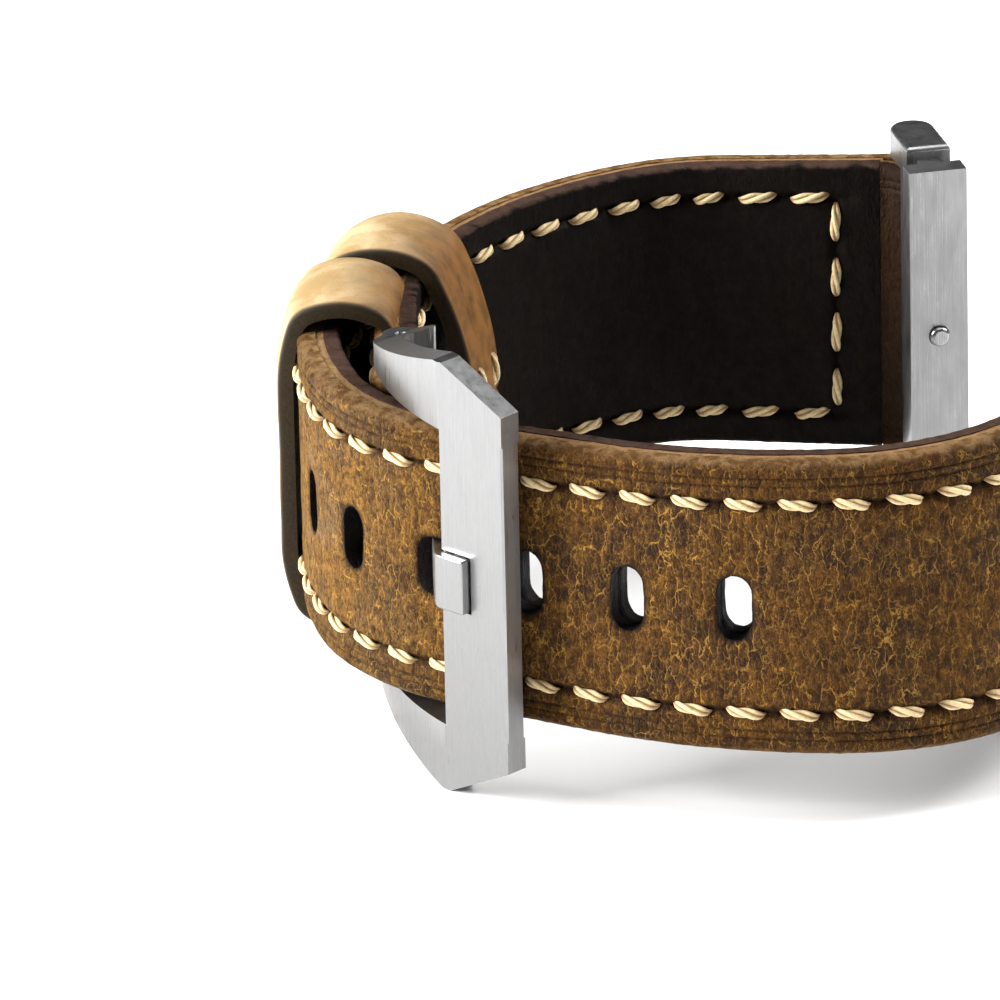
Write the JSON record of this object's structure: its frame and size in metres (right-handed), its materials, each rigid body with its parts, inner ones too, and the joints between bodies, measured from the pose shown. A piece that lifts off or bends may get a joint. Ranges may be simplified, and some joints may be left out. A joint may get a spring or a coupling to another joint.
{
  "type": "leather watch strap",
  "caption": "Buckled leather watch strap with two keepers, a steel pin buckle, cream stitching and steel lug adapters, standing on one edge.",
  "frame": {"origin": "middle of the loop's box, level with the buckle's lower shoulder", "axes": "+Z across the strap's width, +X towards the watch end, +Y away from the tongue side"},
  "size_m": [0.0619, 0.0676, 0.0342],
  "materials": {
    "grain_leather": "waxed, crackled",
    "keeper_leather": "waxed, smooth",
    "lining_leather": "matte",
    "filler": "fibrous cut edge",
    "thread": "waxed twisted thread",
    "brushed_steel": "brushed",
    "bar_steel": "satin"
  },
  "bodies": {
    "strap": {"long_top_leather": "grain_leather", "long_filler": "filler", "long_lining": "lining_leather", "long_stitching": "thread", "short_top_leather": "grain_leather", "short_filler": "filler", "short_lining": "lining_leather", "short_stitching": "thread", "fixed_keeper": "keeper_leather", "buckle_bar_barrel": "bar_steel", "rear_bar_barrel": "bar_steel", "front_bar_barrel": "bar_steel", "buckle_bar_spring_upper": "bar_steel", "buckle_bar_spring_lower": "bar_steel", "rear_bar_spring_upper": "bar_steel", "rear_bar_spring_lower": "bar_steel", "front_bar_spring_upper": "bar_steel", "front_bar_spring_lower": "bar_steel"},
    "buckle": {"buckle_frame": "brushed_steel"},
    "tongue": {"buckle_tongue": "brushed_steel"},
    "free_keeper": {"free_keeper": "keeper_leather", "free_keeper_stitching": "thread"},
    "rear_adapter": {"rear_adapter": "brushed_steel", "rear_detent_spring": "bar_steel"},
    "front_adapter": {"front_adapter": "brushed_steel", "front_detent_spring": "bar_steel"},
    "rear_detent": {"rear_detent_pin": "bar_steel"},
    "front_detent": {"front_detent_pin": "bar_steel"},
    "buckle_bar_tip_upper": {"buckle_bar_tip_upper": "bar_steel"},
    "buckle_bar_tip_lower": {"buckle_bar_tip_lower": "bar_steel"},
    "rear_bar_tip_upper": {"rear_bar_tip_upper": "bar_steel"},
    "rear_bar_tip_lower": {"rear_bar_tip_lower": "bar_steel"},
    "front_bar_tip_upper": {"front_bar_tip_upper": "bar_steel"},
    "front_bar_tip_lower": {"front_bar_tip_lower": "bar_steel"}
  },
  "joints": [
    {"name": "buckle_hinge", "type": "hinge", "parent": "strap", "child": "buckle", "pos_m": [-0.0215, -0.01117, 0.0171], "axis": [0, 0, -1], "range_deg": [0, 3]},
    {"name": "tongue_hinge", "type": "hinge", "parent": "buckle", "child": "tongue", "pos_m": [-0.0215, -0.01117, 0.0171], "axis": [0, 0, -1], "range_deg": [0, 3]},
    {"name": "free_keeper_slide", "type": "hinge", "parent": "strap", "child": "free_keeper", "pos_m": [0.00788, 0.00357, 0.0171], "axis": [0, 0, -1], "range_deg": [0, 20]},
    {"name": "rear_adapter_hinge", "type": "hinge", "parent": "strap", "child": "rear_adapter", "pos_m": [0.0184, 0.03008, 0.0171], "axis": [0, 0, 1], "range_deg": [-10, 75]},
    {"name": "front_adapter_hinge", "type": "hinge", "parent": "strap", "child": "front_adapter", "pos_m": [0.02865, -0.01547, 0.0171], "axis": [0, 0, 1], "range_deg": [-30, 50]},
    {"name": "rear_detent_slide", "type": "slide", "parent": "rear_adapter", "child": "rear_detent", "axis": [-0.2195, 0.9756, 0], "range_m": [0, 0.0005], "stiffness_N_per_m": 500, "springref_m": -0.0005},
    {"name": "front_detent_slide", "type": "slide", "parent": "front_adapter", "child": "front_detent", "axis": [0.2195, -0.9756, 0], "range_m": [0, 0.0005], "stiffness_N_per_m": 500, "springref_m": -0.0005},
    {"name": "buckle_bar_tip_upper_slide", "type": "slide", "parent": "strap", "child": "buckle_bar_tip_upper", "axis": [0, 0, -1], "range_m": [0, 0.0012], "stiffness_N_per_m": 800, "springref_m": -0.001, "deforming": ["buckle_bar_spring_upper"]},
    {"name": "buckle_bar_tip_lower_slide", "type": "slide", "parent": "strap", "child": "buckle_bar_tip_lower", "axis": [0, 0, 1], "range_m": [0, 0.0012], "stiffness_N_per_m": 800, "springref_m": -0.001, "deforming": ["buckle_bar_spring_lower"]},
    {"name": "rear_bar_tip_upper_slide", "type": "slide", "parent": "strap", "child": "rear_bar_tip_upper", "axis": [0, 0, -1], "range_m": [0, 0.0012], "stiffness_N_per_m": 800, "springref_m": -0.001, "deforming": ["rear_bar_spring_upper"]},
    {"name": "rear_bar_tip_lower_slide", "type": "slide", "parent": "strap", "child": "rear_bar_tip_lower", "axis": [0, 0, 1], "range_m": [0, 0.0012], "stiffness_N_per_m": 800, "springref_m": -0.001, "deforming": ["rear_bar_spring_lower"]},
    {"name": "front_bar_tip_upper_slide", "type": "slide", "parent": "strap", "child": "front_bar_tip_upper", "axis": [0, 0, -1], "range_m": [0, 0.0012], "stiffness_N_per_m": 800, "springref_m": -0.001, "deforming": ["front_bar_spring_upper"]},
    {"name": "front_bar_tip_lower_slide", "type": "slide", "parent": "strap", "child": "front_bar_tip_lower", "axis": [0, 0, 1], "range_m": [0, 0.0012], "stiffness_N_per_m": 800, "springref_m": -0.001, "deforming": ["front_bar_spring_lower"]}
  ]
}
